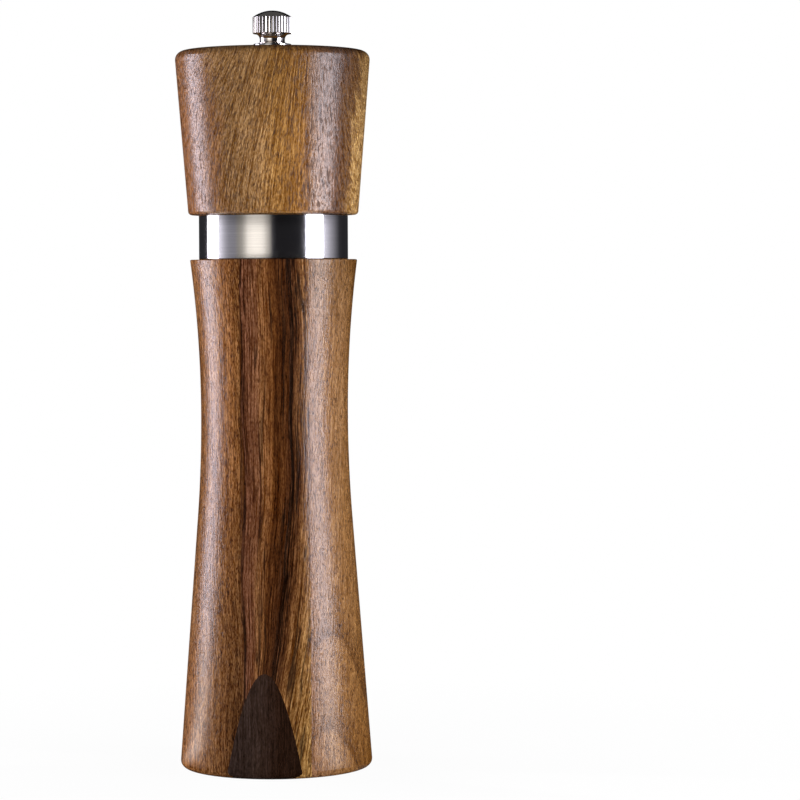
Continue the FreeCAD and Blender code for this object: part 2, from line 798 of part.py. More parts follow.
def make_spring_washer():
    return turned("spring_washer", [
        ("bore_r", "spring_washer_z"),
        ("spring_washer_r", "spring_washer_z"),
        ("spring_washer_r", "bridge_z"),
        ("bore_r", "bridge_z"),
    ])


def make_rotor_washer():
    return turned("rotor_washer", [
        ("rotor_washer_bore_r", "rotor_washer_z"),
        ("rotor_washer_r", "rotor_washer_z"),
        ("rotor_washer_r", "hub_z"),
        ("rotor_washer_bore_r", "hub_z"),
    ])


def cross_recess(body, low, high):
    """Cross recess in a screw head that faces down."""
    slotted(body, body.Name + "_recess", [
        ("0", low),
        ("recess_reach", low),
        ("recess_reach", high),
        ("0", high),
    ], "recess_width", "recess_arms")


def make_rotor_screw():
    body = turned("rotor_screw", [
        ("0", "foot_clear"),
        ("rotor_screw_head_r", "foot_clear"),
        ("rotor_screw_head_r", "rotor_washer_z"),
        ("rotor_screw_r", "rotor_washer_z"),
        ("rotor_screw_r", "rotor_screw_top"),
        ("0", "rotor_screw_top"),
    ])
    cross_recess(body, "foot_clear", "rotor_screw_recess")
    return body


def make_wood_screw():
    body = turned("wood_screw", [
        ("0", "0"),
        ("wood_screw_head_r", "0"),
        ("wood_screw_r", "wood_screw_neck"),
        ("wood_screw_r", "wood_screw_point"),
        ("0", "wood_screw_length"),
    ])
    cross_recess(body, "0", "recess_depth")
    return body


def screw_group(use, screw, height, first_angle):
    """Copies of one screw, spread round the axis."""
    label = use + "_screws"
    count = int(size(use + "_screw_count"))
    copies = []
    for number in range(count):
        copy = screw.Shape.copy()
        copy.translate(FreeCAD.Vector(size(use + "_screw_x"), 0, size(height)))
        copy.rotate(FreeCAD.Vector(), FreeCAD.Vector(0, 0, 1), first_angle + number * 360 / count)
        copies.append(copy)
    group = doc.addObject("Part::Feature", label)
    group.Label = label
    group.Shape = Part.makeCompound(copies)
    group.Placement = FreeCAD.Placement()
    return group


def helix(angle):
    """Place and direction on the spring's centre line."""
    r = size("spring_r")
    wire_r = size("spring_wire") / 2
    rise = (size("spring_length") - 2 * wire_r) / (2 * math.pi * size("spring_turns"))
    low = size("spring_z") + wire_r
    place = FreeCAD.Vector(r * math.cos(angle), r * math.sin(angle), low + rise * angle)
    heading = FreeCAD.Vector(-r * math.sin(angle), r * math.cos(angle), rise)
    return place, heading.normalize()


def tangent_arc(start, corner, end):
    """Arc from start to end whose tangents meet at the corner."""
    middle = (start + end) * 0.5
    half = (end - start).Length / 2
    swing = math.acos(half / (corner - start).Length)
    out = (corner - middle).normalize()
    return Part.Arc(start, middle + out * (half * math.tan(swing / 2)), end).toShape()


def biarc(first_angle, last_angle):
    """Two arcs along a stretch of the helix, meeting smoothly."""
    start, away = helix(first_angle)
    end, arrive = helix(last_angle)
    chord = end - start
    spread = 2 * (1 - away.dot(arrive))
    along = chord.dot(away + arrive)
    reach = (math.sqrt(along ** 2 + spread * chord.dot(chord)) - along) / spread
    first_corner = start + away * reach
    last_corner = end - arrive * reach
    meeting = (first_corner + last_corner) * 0.5
    return [tangent_arc(start, first_corner, meeting), tangent_arc(meeting, last_corner, end)]


# Spring between the hub and the bridge, one unbroken wire
def make_spring():
    quarter = math.pi / 2
    edges = []
    for number in range(int(4 * size("spring_turns"))):
        edges += biarc(number * quarter, (number + 1) * quarter)
    start, heading = helix(0)
    section = Part.Wire([Part.makeCircle(size("spring_wire") / 2, start, heading)])
    sweep = Part.BRepOffsetAPI.MakePipeShell(Part.Wire(edges))
    sweep.add(section)
    sweep.build()
    sweep.makeSolid()
    spring = doc.addObject("Part::Feature", "grinder_spring")
    spring.Label = "grinder_spring"
    spring.Shape = sweep.shape()
    spring.Placement = FreeCAD.Placement()
    steps_per_turn = 48
    places = [helix(2 * math.pi * step / steps_per_turn)[0]
              for step in range(int(steps_per_turn * size("spring_turns")) + 1)]
    gap = min((second - first).Length
              for number, first in enumerate(places)
              for second in places[number + steps_per_turn // 2:]) - size("spring_wire")
    print(f"least gap between spring turns {gap:.2f} mm")
    return spring


def make_all():
    screw = make_wood_screw()
    nodes = make_boards()
    nodes += [
        make_collar(),
        make_head(),
        make_bushing(),
        make_knob(),
        make_drive_plate(),
        make_shaft(),
        make_housing(),
        make_stator(),
        make_rotor(),
        make_hub(),
        make_spring_washer(),
        make_rotor_washer(),
        make_rotor_screw(),
        make_spring(),
    ]
    nodes.append(screw_group("drive_plate", screw, "plate_z", 0))
    nodes.append(screw_group("housing", screw, "flange_z", 90))
    return nodes


def write(nodes):
    """Check every object, then write one file for each node."""
    doc.recompute()
    for item in doc.Objects:
        if "Invalid" in item.State or "Error" in item.State:
            raise RuntimeError(f"{item.Name} failed: {item.State}")
    for node in nodes:
        if node.Shape.isNull() or not node.Shape.isValid():
            raise RuntimeError(node.Label + " has no valid shape")
    os.makedirs("parts", exist_ok=True)
    for node in nodes:
        node.Shape.exportStep(f"parts/{node.Label}.step")
        print(f"{node.Label}: {len(node.Shape.Solids)} solids, {node.Shape.Volume / 1000:.2f} cm3")


write(make_all())
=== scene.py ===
# %% [markdown]
# # A turned pepper mill
#
# This lesson dresses the measured model of a wooden pepper mill for a studio picture. The frame holds every
# piece of the mill at its real size in metres. The pieces that are seen get finer meshes and their own wood and
# metal finishes; the grinder inside keeps its measured shape and gets finishes of its own.

# %% Load the measured mill
import math

import bmesh
import bpy
from mathutils import Matrix, Vector


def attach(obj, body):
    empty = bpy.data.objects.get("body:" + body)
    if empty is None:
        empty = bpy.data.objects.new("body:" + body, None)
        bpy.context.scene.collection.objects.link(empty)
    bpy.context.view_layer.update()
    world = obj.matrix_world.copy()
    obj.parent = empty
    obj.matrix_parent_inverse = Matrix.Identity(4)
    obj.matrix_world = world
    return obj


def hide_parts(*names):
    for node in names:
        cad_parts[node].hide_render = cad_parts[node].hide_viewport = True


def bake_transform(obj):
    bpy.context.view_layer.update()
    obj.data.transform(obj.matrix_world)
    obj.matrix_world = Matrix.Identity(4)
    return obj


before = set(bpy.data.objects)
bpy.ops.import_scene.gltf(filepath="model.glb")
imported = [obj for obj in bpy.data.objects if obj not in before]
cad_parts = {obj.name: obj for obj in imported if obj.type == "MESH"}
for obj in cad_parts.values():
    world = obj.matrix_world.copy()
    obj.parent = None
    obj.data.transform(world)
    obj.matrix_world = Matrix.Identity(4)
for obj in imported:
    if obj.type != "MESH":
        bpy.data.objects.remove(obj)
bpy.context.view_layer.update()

scene = bpy.context.scene
scene.view_settings.view_transform = "Standard"
MM = 0.001

# %% [markdown]
# ## Camera
#
# The mill was photographed from the height of its shoulder, with a long lens from a little under a metre. Such a
# lens keeps the upright sides almost parallel. The mill stands left of the middle of the picture, so the camera is
# turned to the right of it instead of being moved, which keeps the view of the front as it was.

# %% Camera
def aim(turn_right, tip_down, lean):
    """Rotation of a camera that looks along +Y, then turns right, tips down and leans, in degrees."""
    turned = Matrix.Rotation(-math.radians(turn_right), 3, "Z")
    tipped = Matrix.Rotation(math.radians(90 - tip_down), 3, "X")
    leaned = Matrix.Rotation(math.radians(lean), 3, "Z")
    return (turned @ tipped @ leaned).to_euler()


lens = bpy.data.cameras.new("studio_camera")
lens.sensor_width = 36.0
lens.lens = 138.85
lens.clip_start = 0.01
camera = bpy.data.objects.new("studio_camera", lens)
camera.location = (0.0, -0.883, 0.1394)
camera.rotation_euler = aim(turn_right=2.33, tip_down=2.241, lean=-0.262)
scene.collection.objects.link(camera)
scene.camera = camera
print("camera", [round(value, 3) for value in camera.location], "lens", lens.lens)

# %% [markdown]
# ## Node helpers
#
# Every finish and every turned shape below is a tree of nodes. A few small helpers keep those trees short. The first
# adds a node and fills or links its inputs. The others add one kind of node each and hand back its result.

# %% Node helpers
def add_node(tree, kind, values=None, **settings):
    """Add a node, set its options, then fill or link its inputs."""
    node = tree.nodes.new(kind)
    for name, value in settings.items():
        setattr(node, name, value)
    for name, value in (values or {}).items():
        if isinstance(value, bpy.types.NodeSocket):
            tree.links.new(value, node.inputs[name])
        else:
            node.inputs[name].default_value = value
    return node


def calc(tree, operation, *terms, clamp=False):
    """Result of a maths node."""
    node = add_node(tree, "ShaderNodeMath", dict(enumerate(terms)), operation=operation, use_clamp=clamp)
    return node.outputs[0]


def map_range(tree, value, low, high, to_low=0.0, to_high=1.0, kind="LINEAR"):
    """Value carried from one range to another and held at its ends."""
    return add_node(tree, "ShaderNodeMapRange", {
        "Value": value, "From Min": low, "From Max": high, "To Min": to_low, "To Max": to_high,
    }, interpolation_type=kind).outputs[0]


def noise(tree, place, scale, detail, roughness=0.5):
    """Smooth noise between 0 and 1."""
    return add_node(tree, "ShaderNodeTexNoise", {
        "Vector": place, "Scale": scale, "Detail": detail, "Roughness": roughness,
    }).outputs[0]


def length(tree, vector):
    """Length of a vector."""
    return add_node(tree, "ShaderNodeVectorMath", {0: vector}, operation="LENGTH").outputs["Value"]


def split(tree, vector):
    """The X, Y and Z of a vector."""
    return add_node(tree, "ShaderNodeSeparateXYZ", {0: vector}).outputs


def from_axis(tree, sides):
    """Distance from the axis of the mill."""
    flat = add_node(tree, "ShaderNodeCombineXYZ", {"X": sides["X"], "Y": sides["Y"]}).outputs[0]
    return length(tree, flat)


# %% [markdown]
# ## Turning on the lathe
#
# The body, the collar, the head, the bushing and the knob are all turned: each is one profile swept round the axis.
# A Spin in edit mode would do it once, but a Geometry Nodes tree keeps the rule. The profile is a closed curve whose
# point radius says how far that corner is rounded. Fillet Curve rounds the corners, a grid is laid over the profile
# and wrapped round the axis, and an optional ring of round-bottomed flutes is cut into the side.

# %% Geometry Nodes tree of the lathe
MERGE_WITHIN = 1e-6


def build_lathe():
    tree = bpy.data.node_groups.new("lathe", "GeometryNodeTree")
    face = tree.interface
    face.new_socket("Profile", in_out="INPUT", socket_type="NodeSocketGeometry")
    for name in ("Segments", "Arc Steps", "Flutes"):
        face.new_socket(name, in_out="INPUT", socket_type="NodeSocketInt")
    for name in ("Flute Radius", "Flute Depth", "Flute Low", "Flute High"):
        face.new_socket(name, in_out="INPUT", socket_type="NodeSocketFloat")
    face.new_socket("Finish", in_out="INPUT", socket_type="NodeSocketMaterial")
    face.new_socket("Turned", in_out="OUTPUT", socket_type="NodeSocketGeometry")
    given = add_node(tree, "NodeGroupInput").outputs
    rounding = add_node(tree, "GeometryNodeInputRadius").outputs[0]
    rounded = add_node(tree, "GeometryNodeFilletCurve", {
        "Curve": given["Profile"], "Count": given["Arc Steps"], "Radius": rounding, "Limit Radius": True,
    }, mode="POLY").outputs[0]
    counted = add_node(tree, "GeometryNodeAttributeDomainSize", {0: rounded}, component="CURVE")
    rings = counted.outputs["Point Count"]
    around = calc(tree, "ADD", given["Segments"], 1)
    grid = add_node(tree, "GeometryNodeMeshGrid", {
        "Vertices X": calc(tree, "ADD", rings, 1), "Vertices Y": around,
    }).outputs["Mesh"]
    index = add_node(tree, "GeometryNodeInputIndex").outputs[0]
    ring = calc(tree, "FLOOR", calc(tree, "DIVIDE", calc(tree, "ADD", index, 0.5), around))
    step = calc(tree, "SUBTRACT", index, calc(tree, "MULTIPLY", ring, around))
    place = add_node(tree, "GeometryNodeInputPosition").outputs[0]
    sample = add_node(tree, "GeometryNodeSampleIndex", {
        "Geometry": rounded, "Value": place, "Index": calc(tree, "MODULO", ring, rings),
    }, data_type="FLOAT_VECTOR")
    on_profile = split(tree, sample.outputs[0])
    share = calc(tree, "DIVIDE", step, given["Segments"])
    angle = calc(tree, "MULTIPLY", share, 2 * math.pi)
    # Distance from the middle of the nearest flute, along the side
    within = calc(tree, "SUBTRACT", calc(tree, "FRACT", calc(tree, "MULTIPLY", share, given["Flutes"])), 0.5)
    pitch = calc(tree, "DIVIDE", calc(tree, "MULTIPLY", on_profile["X"], 2 * math.pi),
                 calc(tree, "MAXIMUM", given["Flutes"], 1))
    aside = calc(tree, "MULTIPLY", within, pitch)
    square = calc(tree, "SUBTRACT", calc(tree, "POWER", given["Flute Radius"], 2), calc(tree, "POWER", aside, 2))
    reach = calc(tree, "SQRT", calc(tree, "MAXIMUM", square, 0))
    floor = calc(tree, "SUBTRACT", given["Flute Radius"], given["Flute Depth"])
    sunk = calc(tree, "MAXIMUM", calc(tree, "SUBTRACT", reach, floor), 0)
    above = calc(tree, "GREATER_THAN", on_profile["Z"], given["Flute Low"])
    below = calc(tree, "LESS_THAN", on_profile["Z"], given["Flute High"])
    sunk = calc(tree, "MULTIPLY", sunk, calc(tree, "MULTIPLY", above, below))
    radius = calc(tree, "SUBTRACT", on_profile["X"], sunk)
    spot = add_node(tree, "ShaderNodeCombineXYZ", {
        "X": calc(tree, "MULTIPLY", radius, calc(tree, "COSINE", angle)),
        "Y": calc(tree, "MULTIPLY", radius, calc(tree, "SINE", angle)),
        "Z": on_profile["Z"],
    }).outputs[0]
    wrapped = add_node(tree, "GeometryNodeSetPosition", {"Geometry": grid, "Position": spot}).outputs[0]
    closed = add_node(tree, "GeometryNodeMergeByDistance", {
        "Geometry": wrapped, "Distance": MERGE_WITHIN,
    }).outputs[0]
    solid = add_node(tree, "GeometryNodeRealizeInstances", {"Geometry": closed}).outputs[0]
    done = add_node(tree, "GeometryNodeSetMaterial", {"Geometry": solid, "Material": given["Finish"]}).outputs[0]
    add_node(tree, "NodeGroupOutput", {"Turned": done})
    return tree


lathe = build_lathe()
print("lathe tree with", len(lathe.nodes), "nodes")

# %% [markdown]
# A profile is written as corners: radius, height and rounding, in millimetres. The lathe turns it into a closed mesh,
# and the mesh becomes an object that rides on its body in place of the measured piece.

# %% Run a profile through the lathe
CREASE = math.radians(32)


def turn_on_lathe(name, corners, finish, segments=192, arc_steps=12, flutes=None):
    """Closed mesh turned from corners (radius, height, rounding) in millimetres."""
    curve = bpy.data.curves.new(name + "_profile", "CURVE")
    curve.dimensions = "3D"
    spline = curve.splines.new("POLY")
    spline.points.add(len(corners) - 1)
    spline.use_cyclic_u = True
    for point, (radius, height, rounding) in zip(spline.points, corners):
        point.co = (radius * MM, 0.0, height * MM, 1.0)
        point.radius = rounding * MM
    blank = bpy.data.objects.new(name + "_profile", curve)
    scene.collection.objects.link(blank)
    modifier = blank.modifiers.new("lathe", "NODES")
    modifier.node_group = lathe
    wanted = {"Segments": segments, "Arc Steps": arc_steps, "Finish": finish}
    wanted.update(flutes or {})
    for item in lathe.interface.items_tree:
        if item.in_out == "INPUT" and item.name in wanted:
            modifier[item.identifier] = wanted[item.name]
    graph = bpy.context.evaluated_depsgraph_get()
    mesh = bpy.data.meshes.new_from_object(blank.evaluated_get(graph), depsgraph=graph)
    blank.modifiers.clear()
    bpy.data.objects.remove(blank)
    shape = bmesh.new()
    shape.from_mesh(mesh)
    bpy.data.meshes.remove(mesh)
    bmesh.ops.delete(shape, geom=[edge for edge in shape.edges if not edge.link_faces], context="EDGES")
    bmesh.ops.recalc_face_normals(shape, faces=shape.faces)
    return shape


def finish_piece(name, shape, finish, body):
    """Object of a closed shape with its finish, in place of its node. It rides on its body, if one is given."""
    mesh = bpy.data.meshes.new(name)
    shape.to_mesh(mesh)
    shape.free()
    mesh.materials.clear()
    mesh.materials.append(finish)
    mesh.shade_smooth()
    mesh.set_sharp_from_angle(angle=CREASE)
    piece = bpy.data.objects.new(name + "_look", mesh)
    scene.collection.objects.link(piece)
    if body:
        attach(piece, body)
    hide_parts(name)
    print(name, len(mesh.polygons), "faces")
    return piece


# %% [markdown]
# ## Wood grain
#
# All the wood is one kind of dense brown timber with a satin oil finish, cut from several boards. Its look comes from
# marks of many sizes: a slow drift of colour, streaks some millimetres wide, threads, fine ridges and fibres, short
# dashes and pores, and now and then a black vein. They are one node group, because every board uses it. The group
# reads a place in millimetres with the grain along Z, so a board with leaning grain only bends that place before it
# asks.

# %% Shader group of the grain
def linear(red, green, blue):
    """Colour as seen on a screen, 0 to 255, turned into the linear values that a shader needs."""
    channels = [value / 255 for value in (red, green, blue)]
    bent = [value / 12.92 if value <= 0.04045 else ((value + 0.055) / 1.055) ** 2.4 for value in channels]
    return bent + [1.0]


def build_grain():
    tree = bpy.data.node_groups.new("wood_grain", "ShaderNodeTree")
    tree.interface.new_socket("Place", in_out="INPUT", socket_type="NodeSocketVector")
    for name in ("Drift", "Streak", "Thread", "Ridge", "Fibre", "Dash", "Pore", "Vein"):
        tree.interface.new_socket(name, in_out="OUTPUT", socket_type="NodeSocketFloat")
    place = add_node(tree, "NodeGroupInput").outputs["Place"]

    def stretched(across, along, detail, roughness=0.5, deep=1.0):
        """Noise with so many lumps to the millimetre across and along the grain."""
        sizes = (across, across * deep, along)
        scaled = add_node(tree, "ShaderNodeVectorMath", {0: place, 1: sizes}, operation="MULTIPLY")
        return noise(tree, scaled.outputs[0], 1.0, detail, roughness)

    drift = stretched(0.10, 0.010, 2)
    streak = stretched(0.45, 0.010, 4, 0.62, deep=0.4)
    thread = stretched(2.2, 0.032, 3, 0.70, deep=0.25)
    ridge = stretched(3.0, 0.26, 1)
    short_fibre = stretched(4.4, 1.10, 1)
    fibre = calc(tree, "MULTIPLY", calc(tree, "ADD", ridge, short_fibre), 0.5)
    dash = map_range(tree, stretched(1.7, 0.38, 1, 0.4), 0.54, 0.64)
    # Pores are the peaks of a fine noise, and there are more of them where a slow noise is high
    speck = stretched(3.8, 0.80, 1, 0.4)
    crowd = stretched(0.25, 0.04, 1)
    edge = calc(tree, "SUBTRACT", 0.63, calc(tree, "MULTIPLY", crowd, 0.10))
    pore = map_range(tree, speck, edge, calc(tree, "ADD", edge, 0.09))
    # A vein runs where a slow noise crosses its middle, and comes and goes with a second one
    winding = stretched(0.30, 0.007, 2, 0.55, deep=0.4)
    beside = calc(tree, "ABSOLUTE", calc(tree, "SUBTRACT", winding, 0.5))
    reach = calc(tree, "MULTIPLY", calc(tree, "SUBTRACT", stretched(0.5, 0.03, 2), 0.38, clamp=True), 0.16)
    vein = calc(tree, "SUBTRACT", 1.0, calc(tree, "DIVIDE", beside, calc(tree, "ADD", reach, 0.002)), clamp=True)
    add_node(tree, "NodeGroupOutput", {
        "Drift": drift, "Streak": streak, "Thread": thread, "Ridge": ridge, "Fibre": fibre, "Dash": dash,
        "Pore": pore, "Vein": vein,
    })
    return tree


grain = build_grain()
print("grain group with", len(grain.nodes), "nodes")

# %% [markdown]
# A wood finish is a row of colours across the board. The grain moves those bands about, draws its marks over them and
# gives the surface its roughness and relief. Two helpers make colours: one lays out a row of them, one mixes two.

# %% Colour helpers
def start_finish(name):
    """Material with its Principled shader and Object coordinates."""
    material = bpy.data.materials.new(name)
    material.use_nodes = True
    tree = material.node_tree
    shader = tree.nodes["Principled BSDF"]
    spot = add_node(tree, "ShaderNodeTexCoord").outputs["Object"]
    return material, tree, shader, spot


def colour_row(tree, fac, stops):
    """Colour ramp from (place 0 to 1, linear colour) pairs."""
    ramp = add_node(tree, "ShaderNodeValToRGB", {"Fac": fac})
    bands = ramp.color_ramp.elements
    while len(bands) < len(stops):
        bands.new(0.5)
    for band, (place, colour) in zip(bands, stops):
        band.position = place
        band.color = colour
    return ramp.outputs["Color"]


def blend_colour(tree, kind, share, first, second):
    """Mix two colours."""
    node = add_node(tree, "ShaderNodeMix", data_type="RGBA", blend_type=kind)
    for socket, value in zip((node.inputs[0], node.inputs[6], node.inputs[7]), (share, first, second)):
        if isinstance(value, bpy.types.NodeSocket):
            tree.links.new(value, socket)
        else:
            socket.default_value = value
    return node.outputs[2]


# %% [markdown]
# The grain of a board may lean, fan out, sweep aside towards the foot or stray a little. All of that bends the place
# where the grain group is read. It leans most at the front of the mill and stands more upright at its sides.

# %% Direction of the grain and bands of colour
PLAIN_WOOD = {
    # Direction of the grain, in millimetres
    "lean": 0.0, "upright": 1.0, "fan": 0.0, "middle": 0.0, "sweep": 0.0, "sweep_top": 0.0, "wander": 4.0,
    "offset": (0, 0, 0),
    # Lean and fan of the bands of colour, and how far each mark moves them
    "tone_lean": 0.0, "tone_fan": 0.0, "drift": 0.5, "streak": 0.5, "ragged": 0.0,
    # Strength of the marks
    "thread": 0.4, "fibre": 0.6, "pores": 0.9, "dashes": 0.35, "veins": 0.0,
    # Shade between two heights, where across the board it sets in, painted shade on a rounded rim, and arches
    "fade": (0.0, 1.0, 1.0), "fade_side": (-2.0, -1.0), "edge": (0.0, 1.0, 0.0), "arch": None,
    # Surface
    "roughness": 0.17, "dull": 0.16, "relief": 0.4,
}
STRAY_SCALE = 34.0
STILL_EDGE = 8.0
FRONT_DEPTH, SIDE_DEPTH = -26.0, -4.0


def bend_grain(tree, spot, sides, rise, start, look):
    """Way in from the edge of the board, and the same with the lean and the fan of the grain taken off."""
    stray = calc(tree, "MULTIPLY", calc(tree, "SUBTRACT", noise(tree, spot, STRAY_SCALE, 1.0), 0.5), look["wander"])
    inward = calc(tree, "ADD", calc(tree, "SUBTRACT", sides["X"], start), stray)
    # Lines sweep to the left towards the foot, all but those next to the left edge of the board
    drop = calc(tree, "MAXIMUM", calc(tree, "SUBTRACT", look["sweep_top"], sides["Z"]), 0)
    swept = calc(tree, "MULTIPLY", calc(tree, "POWER", drop, 2), look["sweep"])
    inner = calc(tree, "DIVIDE", inward, STILL_EDGE, clamp=True)
    inward = calc(tree, "ADD", inward, calc(tree, "MULTIPLY", swept, inner))
    spread = calc(tree, "SUBTRACT", 1.0, calc(tree, "MULTIPLY", rise, look["fan"]))
    lean = map_range(tree, sides["Y"], FRONT_DEPTH, SIDE_DEPTH, look["lean"], look["lean"] * look["upright"])
    across = calc(tree, "DIVIDE", calc(tree, "SUBTRACT", inward, calc(tree, "MULTIPLY", rise, lean)), spread)
    return inward, across


def read_grain(tree, across, sides, offset):
    """Marks of the grain at a bent place."""
    place = add_node(tree, "ShaderNodeCombineXYZ", {"X": across, "Y": sides["Y"], "Z": sides["Z"]}).outputs[0]
    place = add_node(tree, "ShaderNodeVectorMath", {0: place, 1: offset}, operation="ADD").outputs[0]
    return add_node(tree, "ShaderNodeGroup", {"Place": place}, node_tree=grain).outputs


def band_colour(tree, inward, rise, marks, stops, width, look):
    """Bands of colour across the board, moved about by the grain."""
    fanned = calc(tree, "MULTIPLY", calc(tree, "SUBTRACT", inward, width / 2), look["tone_fan"])
    shift = calc(tree, "MULTIPLY", rise, calc(tree, "ADD", fanned, look["tone_lean"]))
    tone = calc(tree, "DIVIDE", calc(tree, "SUBTRACT", inward, shift), width)
    for mark, share in (("Drift", look["drift"]), ("Streak", look["streak"]), ("Thread", look["ragged"])):
        tone = calc(tree, "ADD", tone, calc(tree, "MULTIPLY", calc(tree, "SUBTRACT", marks[mark], 0.5), share))
    return colour_row(tree, tone, [(place, linear(*seen)) for place, seen in stops])


# %% [markdown]
# Over the bands lie lighter and darker lines, then slow shading, then the open marks. The lighter lines are also a
# little whiter, which paints in part the sheen of tiny glints. Shading is a fade over the height, painted shade on a
# rounded rim where it turns away from the light, and arches where the flared foot cuts slantwise through the growth
# rings. Each growth ring darkens slowly and ends in a short step.

# %% Lines, shading and marks
LINE_RANGE = (0.38, 0.62)
# The lighter lines are whiter than the wood: partly lighter wood, partly a painted sheen of tiny glints
DARK_LINE, LIGHT_LINE_AND_SHEEN = (-1.0, -1.25, -1.6), (1.0, 1.15, 1.35)
RING_STEP = 20.0
ARCH_SHADE = (0.45, 0.38, 0.30, 1)
# Painted shade: a dark band on a rounded rim, between these radii, where the rim turns away from the light
PAINTED_RIM_RADII = (24.0, 26.5)
RIM_PAINTED_SHADE = (0.1, 0.08, 0.06, 1)
PORE_SHADE = (0.22, 0.15, 0.10, 1)
VEIN_COLOUR = linear(26, 15, 9)


def draw_lines(tree, colour, marks, look):
    """Lighter and darker threads and fibres; the whiter tint of the lighter ones is partly a painted sheen."""
    for mark, depth in (("Thread", look["thread"]), ("Fibre", look["fibre"])):
        share = map_range(tree, marks[mark], *LINE_RANGE)
        dark, light = [[1 + depth * part for part in line] + [1] for line in (DARK_LINE, LIGHT_LINE_AND_SHEEN)]
        colour = blend_colour(tree, "MULTIPLY", 1.0, colour, blend_colour(tree, "MIX", share, dark, light))
    return colour


def arch_share(tree, sides, inward, middle, top, curve, pitch, depth):
    """How dark the growth rings are that arch over a middle line."""
    beyond = calc(tree, "POWER", calc(tree, "ABSOLUTE", calc(tree, "SUBTRACT", inward, middle)), 2)
    arched = calc(tree, "ADD", sides["Z"], calc(tree, "MULTIPLY", beyond, curve))
    under = calc(tree, "SUBTRACT", top, arched)
    ring = calc(tree, "FRACT", calc(tree, "DIVIDE", under, pitch))
    step = calc(tree, "MULTIPLY", calc(tree, "SUBTRACT", 1.0, ring), RING_STEP)
    ring = calc(tree, "MINIMUM", calc(tree, "POWER", ring, 3), step)
    inside = calc(tree, "DIVIDE", calc(tree, "ADD", under, pitch), pitch, clamp=True)
    return calc(tree, "MULTIPLY", calc(tree, "MULTIPLY", ring, inside), depth)


def shade_wood(tree, colour, sides, inward, look):
    """Fade over the height, arches, and painted shade on a rounded rim."""
    low, high, shade = look["fade"]
    faded = map_range(tree, sides["Z"], low, high, shade, 1.0, kind="SMOOTHSTEP")
    colour = blend_colour(tree, "MULTIPLY", map_range(tree, inward, *look["fade_side"]), colour, faded)
    if look["arch"]:
        colour = blend_colour(tree, "MULTIPLY", arch_share(tree, sides, inward, *look["arch"]), colour, ARCH_SHADE)
    # Painted shade along the rim, at the given height, width and depth
    height, width, depth = look["edge"]
    off_painted_rim = calc(tree, "DIVIDE", calc(tree, "ABSOLUTE", calc(tree, "SUBTRACT", sides["Z"], height)), width)
    painted_rim_shade = calc(tree, "MULTIPLY", calc(tree, "SUBTRACT", 1.0, off_painted_rim, clamp=True), depth)
    painted_rim_shade = calc(tree, "MULTIPLY", painted_rim_shade, map_range(tree, from_axis(tree, sides), *PAINTED_RIM_RADII))
    return blend_colour(tree, "MULTIPLY", painted_rim_shade, colour, RIM_PAINTED_SHADE)


def open_marks(tree, colour, marks, look):
    """Black veins, pores and dashes."""
    colour = blend_colour(tree, "MIX", calc(tree, "MULTIPLY", marks["Vein"], look["veins"]), colour, VEIN_COLOUR)
    for mark, strength in (("Pore", look["pores"]), ("Dash", look["dashes"])):
        share = calc(tree, "MULTIPLY", marks[mark], strength)
        colour = blend_colour(tree, "MULTIPLY", share, colour, PORE_SHADE)
    return colour


# %% [markdown]
# The oil leaves the wood a little duller in its pores, and the ridges and threads can be felt.

# %% Wood finish from a row of colours
FIBRE_ROUGHNESS = 0.10
PORE_RELIEF, THREAD_RELIEF = 0.2, 0.6
RELIEF_HEIGHT = 0.15 * MM
OIL_SHEEN = 0.375


def wood_finish(name, stops, width, start, **changes):
    """Oiled wood whose colours run across the board, from start, over a width in millimetres."""
    look = PLAIN_WOOD | changes
    material, tree, shader, spot = start_finish(name)
    scaled = add_node(tree, "ShaderNodeMapping", {"Vector": spot, "Scale": (1 / MM, 1 / MM, 1 / MM)}).outputs[0]
    sides = split(tree, scaled)
    rise = calc(tree, "SUBTRACT", sides["Z"], look["middle"])
    inward, across = bend_grain(tree, spot, sides, rise, start, look)
    marks = read_grain(tree, across, sides, look["offset"])
    colour = band_colour(tree, inward, rise, marks, stops, width, look)
    colour = draw_lines(tree, colour, marks, look)
    colour = shade_wood(tree, colour, sides, inward, look)
    colour = open_marks(tree, colour, marks, look)
    tree.links.new(colour, shader.inputs["Base Color"])
    smoothest = look["roughness"] - FIBRE_ROUGHNESS / 2
    worn = calc(tree, "ADD", calc(tree, "MULTIPLY", marks["Fibre"], FIBRE_ROUGHNESS), smoothest)
    holes = calc(tree, "MAXIMUM", marks["Pore"], marks["Dash"])
    worn = calc(tree, "ADD", worn, calc(tree, "MULTIPLY", holes, look["dull"]))
    tree.links.new(worn, shader.inputs["Roughness"])
    height = calc(tree, "SUBTRACT", marks["Ridge"], calc(tree, "MULTIPLY", marks["Pore"], PORE_RELIEF))
    height = calc(tree, "ADD", height, calc(tree, "MULTIPLY", marks["Thread"], THREAD_RELIEF))
    bump = add_node(tree, "ShaderNodeBump", {
        "Height": height, "Strength": look["relief"], "Distance": RELIEF_HEIGHT,
    })
    tree.links.new(bump.outputs[0], shader.inputs["Normal"])
    shader.inputs["Specular IOR Level"].default_value = OIL_SHEEN
    return material


# %% [markdown]
# ## Boards of the body
#
# The blank was glued from three boards before it was turned, so the glue lines run straight up the body while the
# outline curves. The left board is golden brown, the right board is paler, and the middle one is the showpiece: dark,
# with black streaks that lean over towards the foot. The head is a block of its own, with grain that leans across its
# front, and the inlay is a sliver of the darkest wood.

